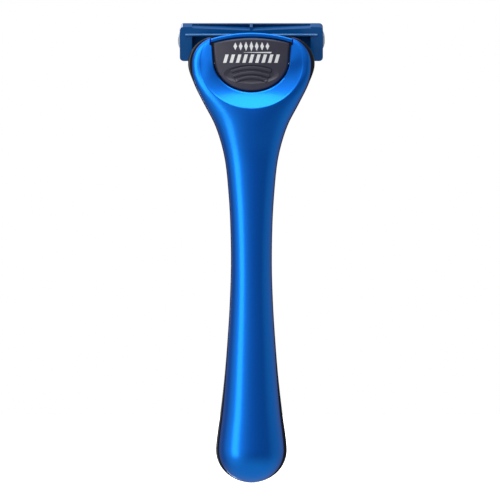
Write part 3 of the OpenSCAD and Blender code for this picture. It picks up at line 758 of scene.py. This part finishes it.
def coil(name, node, body, y, radius, low, high, wire, turns):
    """Compression spring along Z, centred on the handle at depth y: a helix whose height climbs
    evenly but for the closed turns at its ends."""
    t = np.linspace(0, 1, int(turns * 32))
    turn = 2 * math.pi * turns * t
    closed = 1 / turns
    rise = np.clip((t - 0.8 * closed) / (1 - 1.6 * closed), 0, 1)
    z = mix(low + wire / 2, high - wire / 2, mix(rise, t, END_SLOPE))
    centre_line = radius - wire / 2
    path = np.stack([centre_line * np.cos(turn), y + centre_line * np.sin(turn), z], axis=1)
    grid = tube(path, wire / 2, 10, (0, 0, 1))
    piece = solid(name, [grid], body, spring_wire, sharp=60, wraps=(0,))
    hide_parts(node)
    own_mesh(piece)


coil(
    "button_return_spring", "button_spring", "handle",
    y=-2.3, radius=1.05, low=51.4, high=58.5, wire=0.3, turns=7,
)
coil(
    "plunger_return_spring", "plunger_spring", "docking_head",
    y=0.6, radius=0.9, low=48.0, high=53.5, wire=0.25, turns=5,
)

# ------------------------------------------------------------------------------------------
# Docking frame: dark blue acetal, a slab that slides between the shells, two arms with the
# pivot bar and the pins. One moulding.
# ------------------------------------------------------------------------------------------
# acetal: slippery and slightly waxy, with a soft gloss
acetal = finish("dark_blue_acetal", ("0b1c38", "102447"), 0.25, (0.28, 0.4), 0.002, {"IOR": 1.48})
softened("docking_frame", "docking_frame_moulding", acetal, 0.12)

# ------------------------------------------------------------------------------------------
# Hood: the blue arch over the button, lacquered like the front shell. Its top and bottom edges
# are rounded and two tongues clip it to the docking slab.
# ------------------------------------------------------------------------------------------
HOOD_FRONT, HOOD_BACK = -5.0, -1.4
HOOD_LOW = (46, EAR_Z + 7.6)        # radius of the arc along the foot, and its crown's height
HOOD_HIGH = (41, EAR_Z + 8.9)
HOOD_EDGE = 0.4
HOOD_BOW = 0.25             # how far its ends lie behind its middle
HOOD_COLUMNS = 81
TONGUE_HALF = 2.5

# the bar's section, from its back round the two rounded edges of its front, along the arch
hood_x = HOOD_RX * np.linspace(-1, 1, HOOD_COLUMNS)[:, None]
low, high = arch(*HOOD_LOW, hood_x), arch(*HOOD_HIGH, hood_x)
turn = np.linspace(0, math.pi / 2, 9)
edge_radius = np.minimum(HOOD_EDGE, 0.49 * (high - low))
round_y, round_z = edge_radius * (1 - np.sin(turn)[None]), edge_radius * (1 - np.cos(turn)[None])
hood_face = HOOD_FRONT + HOOD_BOW * np.abs(hood_x / HOOD_RX) ** 2
back_y = np.full((HOOD_COLUMNS, 1), HOOD_BACK)
section_y = np.concatenate([back_y, hood_face + round_y, hood_face + round_y[:, ::-1], back_y], axis=1)
section_z = np.concatenate([low, low + round_z, high - round_z[:, ::-1], high], axis=1)
bar = place(hood_x, section_y, section_z)


def end_faces(bar):
    """Closes a bar made of closed sections: a fan from each end section to its middle."""
    return [np.stack([bar[k], np.broadcast_to(bar[k].mean(axis=0), bar[k].shape)]) for k in (0, -1)]


tongues = [
    block((mid - TONGUE_HALF, mid + TONGUE_HALF), (-1.9, -1.0), (EAR_Z + 4.5, EAR_Z + 8.2))
    for mid in (-TAB_X, TAB_X)
]
hood = solid(
    "hood_moulding", [bar, *end_faces(bar), *tongues], "docking_head", lacquer,
    wraps=range(5),
)
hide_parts("hood")

# ------------------------------------------------------------------------------------------
# Plunger: a small white acetal slider with a rounded nose that returns the blade unit. It
# runs in a bore of the docking slab on its spring.
# ------------------------------------------------------------------------------------------
# natural acetal: milky white and faintly see-through, with a soft gloss
white_acetal = finish(
    "white_acetal", ("dfe2e2", "e9ebea"), 0.3, (0.3, 0.42), 0.002,
    {"IOR": 1.48, "Subsurface Weight": 0.1},
)
softened("plunger", "plunger_moulding", white_acetal, 0.1)

# ------------------------------------------------------------------------------------------
# Cartridge frame: translucent navy styrene, a tray with a window for the blades, a back pocket
# for the docking head, a recess along the top wall and a bead along the back edge. One moulding.
# ------------------------------------------------------------------------------------------
# styrene straight from a polished tool: glassy, one even navy all over; the lighter bead and the dark
# recess wall further down are painted highlight and painted shade
navy = finish(
    "translucent_navy_styrene", ("084a86", "0b569a"), 0.4, (0.1, 0.16), 0.0008,
    {"IOR": 1.45, "Specular IOR Level": 0.35},
)
softened("cartridge_frame", "cartridge_frame_moulding", navy, 0.18, 3)

UNIT_Y, UNIT_Z = 7.4, 61.9  # the blade unit's own origin, and how far it leans back
LEAN = math.radians(15)


def on_unit(x, u, w):
    """Points given in the blade unit's own frame, which is turned by its lean: u out of its
    face, w up it."""
    y = UNIT_Y + u * math.cos(LEAN) - w * math.sin(LEAN)
    z = UNIT_Z + u * math.sin(LEAN) + w * math.cos(LEAN)
    return place(x, y, z)


# thin bead along the back edge, coloured a lighter blue than the frame as a painted highlight along
# that edge, with a little light also passing through it
BEAD_R = 0.34
BEAD_U, BEAD_W = -1.3, 5.15
BEAD_HALF = 19.2

# the light blue here is a painted highlight on the bead, not the styrene's own colour
bead_painted_highlight = finish(
    "light_navy_painted_highlight", ("3f84cc", "5292d6"), 0.5, (0.12, 0.2), 0.0008,
    {"IOR": 1.59, "Transmission Weight": 0.2},
)
bead_x = BEAD_HALF * np.sin(np.linspace(-math.pi / 2, math.pi / 2, 60))
bead = tube(on_unit(bead_x, BEAD_U, BEAD_W), BEAD_R, 16, (0, 0, 1))
solid("frame_bead", [bead], "blade_unit", bead_painted_highlight, sharp=60, wraps=(0,))

# a thin dark wall set inside the recess along the top: painted shade that darkens the recess
TOP_W = 7.5                 # height of the frame's top above the unit's origin
WALL_U = (2.3, 2.52)
WALL_BELOW = 0.06           # the wall stops this far under the top
RECESS_IN, RECESS_OUT = 0.4, 17.2   # where the wedge-shaped recess starts beside the web, and ends
RECESS_DEEP, RECESS_SHALLOW = 1.05, 0.4

# the deep navy is painted shade for the recess, not a colour of the styrene
recess_painted_shade = finish("navy_recess_painted_shade", ("051c3e", "07244c"), 0.4, (0.16, 0.24), 0.0008, {"IOR": 1.45})
for side, part in ((-1, "left"), (1, "right")):
    wall_x = side * np.linspace(RECESS_IN + 0.05, RECESS_OUT - 0.05, 30)[:, None]
    outwards = (np.abs(wall_x) - RECESS_IN) / (RECESS_OUT - RECESS_IN)
    foot = TOP_W - mix(RECESS_DEEP, RECESS_SHALLOW, outwards)
    brim = np.full_like(foot, TOP_W - WALL_BELOW)
    wall_u = np.array([[WALL_U[0], WALL_U[0], WALL_U[1], WALL_U[1]]])
    wall = on_unit(wall_x, wall_u, np.concatenate([foot, brim, brim, foot], axis=1))
    patches = [wall, *end_faces(wall)]
    solid(f"recess_shade_wall_{part}", patches, "blade_unit", recess_painted_shade, wraps=range(3))

# ------------------------------------------------------------------------------------------
# Inside the cartridge frame: the moulded tray and cap, three ground steel blades, two stamped
# aluminium spacers between them, pressed in from the front.
# ------------------------------------------------------------------------------------------


def dress(node, material):
    """Gives a CAD part its material."""
    for held in frame["nodes"][node].material_slots:
        held.material = material


def ground(tree, where, fine):
    """Grinding lines square to the edge, about 0.03 mm apart, drawn coarser so that they show,
    added to the fine noise."""
    lines = add(
        tree, "ShaderNodeTexWave", {"Scale": 1 / (1.6 * MM), "Distortion": 1.5, "Detail": 3.0},
        {"Vector": where}, bands_direction="X",
    )
    total = add(tree, "ShaderNodeMath", links={0: lines.outputs["Fac"], 1: fine}, operation="ADD")
    return total.outputs["Value"]


# hardened stainless steel, ground to its edge, and aluminium as it leaves the rolling mill
blade_steel = finish(
    "ground_blade_steel", ("b7b9bc", "cfd0d2"), 0.3, (0.16, 0.26), 0.0008, {"Metallic": 1.0}, ground,
)
rolled_aluminium = finish(
    "rolled_aluminium", ("b9bcc0", "c6c8cb"), 0.25, (0.3, 0.4), 0.001, {"Metallic": 1.0},
)
for k in (1, 2, 3):
    dress(f"blade_{k}", blade_steel)
for k in (1, 2):
    dress(f"spacer_{k}", rolled_aluminium)
dress("blade_platform", navy)
dress("blade_cap", navy)

# ------------------------------------------------------------------------------------------
# Guard wires: fine steel wires wrapped round each blade's edge, side by side, which keep the
# skin from being pushed between the blades.
# ------------------------------------------------------------------------------------------
BLADE_LEAN = math.radians(22)
BLADE_T = 0.12
BLADE_PITCH = 1.4
EDGE_U, EDGE_W = 3.4, 0.3   # the first blade's edge in the unit's frame
WIRE_D = 0.08
WIRE_PITCH = 1.3
WIRE_TAIL = 0.5             # how far a wire runs back from the edge on both faces
WIRES_EACH = 25             # on each blade


def seat(s, q):
    """u and w of a point s along the blade plane from the first edge, and q out of it."""
    return (
        EDGE_U + s * math.sin(BLADE_LEAN) + q * math.cos(BLADE_LEAN),
        EDGE_W - s * math.cos(BLADE_LEAN) + q * math.sin(BLADE_LEAN),
    )


wrap = np.linspace(math.pi / 2, -math.pi / 2, 6)
loop = BLADE_T / 2 + WIRE_D / 2
for k in range(3):
    s = -k * BLADE_PITCH * math.cos(BLADE_LEAN)
    q = k * BLADE_PITCH * math.sin(BLADE_LEAN)
    path_s = np.concatenate([[s - WIRE_TAIL], s + loop * np.cos(wrap), [s - WIRE_TAIL]])
    path_q = q - BLADE_T / 2 + loop * np.concatenate([[1], np.sin(wrap), [-1]])
    loops = []
    for n in range(WIRES_EACH):
        path = on_unit((n - WIRES_EACH // 2) * WIRE_PITCH, *seat(path_s, path_q))
        loops.append(tube(path, WIRE_D / 2, 6, (1, 0, 0)))
    wires = solid(
        f"guard_wires_{k + 1}", loops, "blade_unit", spring_wire,
        sharp=60, wraps=range(WIRES_EACH),
    )
    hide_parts(f"wires_{k + 1}")

# ------------------------------------------------------------------------------------------
# Strips: the lubricating strip, a pressed polymer that turns slick when wet, and the soft guard
# with three fins that stretches the skin. Both are held in channels of the frame.
# ------------------------------------------------------------------------------------------
# pressed polymer: pale green and chalky, with a little light passing into it. The rubber of the
# guard is near black and dull.
gel = finish(
    "lubricating_polymer", ("a4d6c9", "bce3d8"), 0.35, (0.5, 0.65), 0.006,
    {"IOR": 1.48, "Subsurface Weight": 0.2},
)
guard_rubber = finish(
    "soft_guard_rubber", ("15171c", "1c1e24"), 0.15, (0.5, 0.62), 0.004, {"IOR": 1.5},
)
softened("lubricating_strip", "lubricating_strip_bar", gel, 0.08)
softened("guard_strip", "soft_guard", guard_rubber, 0.04)

# ------------------------------------------------------------------------------------------
# End caps: pale clips over both ends of the blade stack, bowed outwards. Moulded styrene,
# pressed over the frame's ends to hold the blades down.
# ------------------------------------------------------------------------------------------
# styrene with a pale pigment: an even, clean gloss
pale = finish("pale_grey_styrene", ("c9ced3", "d8dce0"), 0.3, (0.2, 0.3), 0.0015, {"IOR": 1.55})
softened("end_cap_left", "end_cap_left_clip", pale, 0.12, 3)
softened("end_cap_right", "end_cap_right_clip", pale, 0.12, 3)

# ------------------------------------------------------------------------------------------
# Floor, background, lights and camera: white paper in a soft studio, with one tall softbox at
# the left, one overhead and three behind. The object neither mirrors the floor nor is lit by it.
# ------------------------------------------------------------------------------------------
scene = bpy.context.scene
FLOOR_Z = -0.0636           # in metres, just below the handle's end

floor_mesh = bpy.data.meshes.new("floor")
floor_corners = [(x, y, FLOOR_Z) for x, y in ((-1, -1), (1, -1), (1, 1), (-1, 1))]
floor_mesh.from_pydata(floor_corners, [], [(0, 1, 2, 3)])
floor = bpy.data.objects.new("floor", floor_mesh)
scene.collection.objects.link(floor)
paper = bpy.data.materials.new("white_paper")
paper.use_nodes = True
tree = paper.node_tree
tree.nodes.clear()
where = add(tree, "ShaderNodeTexCoord").outputs["Object"]
fibres = add(tree, "ShaderNodeTexNoise", {"Scale": 900.0, "Detail": 4.0}, {"Vector": where})
tone = add(
    tree, "ShaderNodeMix", {6: linear("f4f4f4"), 7: linear("ffffff")}, {0: fibres.outputs["Fac"]},
    data_type="RGBA",
)
matt = add(tree, "ShaderNodeBsdfDiffuse", links={"Color": tone.outputs[2]})
glow = add(tree, "ShaderNodeEmission", {"Color": linear("ffffff"), "Strength": 1.0})
both = add(tree, "ShaderNodeAddShader", links={0: matt.outputs["BSDF"], 1: glow.outputs["Emission"]})
add(tree, "ShaderNodeOutputMaterial", links={"Surface": both.outputs["Shader"]})
floor_mesh.materials.append(paper)
floor.visible_glossy = False
floor.visible_diffuse = False

# the room that the object mirrors: an even grey and broad glows, each its azimuth and elevation
# in degrees, the cosines off its direction at which it starts and is full, and its strength
AMBIENT = 0.21
ROOM = [
    (-56, 5, 0.45, 1.0, 0.6),
    (100, 0, 0.6, 1.0, 0.25),
    (0, 58, 0.5, 1.0, 0.6),
    (0, -90, 0.2, 0.9, 0.45),
    (180, 80, 0.6, 1.0, 0.5),
]


def towards(azimuth, elevation):
    """Unit vector of a direction in degrees: azimuth 0 is the camera's side, 90 the right."""
    a, e = math.radians(azimuth), math.radians(elevation)
    return (math.cos(e) * math.sin(a), -math.cos(e) * math.cos(a), math.sin(e))


world = bpy.data.worlds.new("studio")
scene.world = world
world.use_nodes = True
tree = world.node_tree
tree.nodes.clear()
seen = add(tree, "ShaderNodeLightPath").outputs["Is Camera Ray"]
white = add(tree, "ShaderNodeBackground", {"Color": linear("ffffff"), "Strength": 1.0})
direction = add(tree, "ShaderNodeTexCoord").outputs["Generated"]
level = None
for azimuth, elevation, start, full, strength in ROOM:
    facing = add(
        tree, "ShaderNodeVectorMath", {1: towards(azimuth, elevation)}, {0: direction},
        operation="DOT_PRODUCT",
    )
    glow = add(
        tree, "ShaderNodeMapRange",
        {"From Min": start, "From Max": full, "To Min": 0.0, "To Max": strength},
        {"Value": facing.outputs["Value"]}, interpolation_type="SMOOTHSTEP",
    )
    total = add(tree, "ShaderNodeMath", {0: AMBIENT}, {1: glow.outputs["Result"]}, operation="ADD")
    if level:
        tree.links.new(level.outputs["Value"], total.inputs[0])
    level = total
mirrored = add(
    tree, "ShaderNodeBackground", {"Color": linear("f2f5fa")}, {"Strength": level.outputs["Value"]},
)
blend = add(
    tree, "ShaderNodeMixShader",
    links={0: seen, 1: mirrored.outputs["Background"], 2: white.outputs["Background"]},
)
add(tree, "ShaderNodeOutputWorld", links={"Surface": blend.outputs["Shader"]})


def softbox(name, azimuth, elevation, distance, width, height, radiance):
    """Area light aimed at the object from a direction in degrees, distance metres away."""
    lamp = bpy.data.lights.new(name, "AREA")
    lamp.shape = "RECTANGLE"
    lamp.size, lamp.size_y = width, height
    lamp.energy = radiance * math.pi * width * height
    made = bpy.data.objects.new(name, lamp)
    scene.collection.objects.link(made)
    made.location = [distance * part for part in towards(azimuth, elevation)]
    made.rotation_euler = (math.pi / 2 - math.radians(elevation), 0, math.radians(azimuth))


# name, azimuth, elevation, distance, width, height, radiance
softbox("key_left", -50, 10, 1.0, 0.5, 1.3, 1.9)
softbox("overhead_front", 0, 60, 1.0, 0.9, 0.55, 2.6)
softbox("back_strip", -168, 5, 1.1, 0.1, 1.4, 3.0)
softbox("back_left", -120, 42, 1.1, 0.5, 0.6, 1.6)
softbox("back_top", 180, 66, 1.1, 0.9, 0.4, 1.8)

camera_data = bpy.data.cameras.new("camera")
camera_data.lens = 600      # in millimetres: a long lens 2.4 m away, with hardly any perspective
camera_data.sensor_width = 36
camera = bpy.data.objects.new("camera", camera_data)
scene.collection.objects.link(camera)
camera.location = (-0.0004, -2.415, 0.00406)
camera.rotation_euler = (math.pi / 2, 0, 0)
scene.camera = camera
scene.view_settings.view_transform = "Standard"
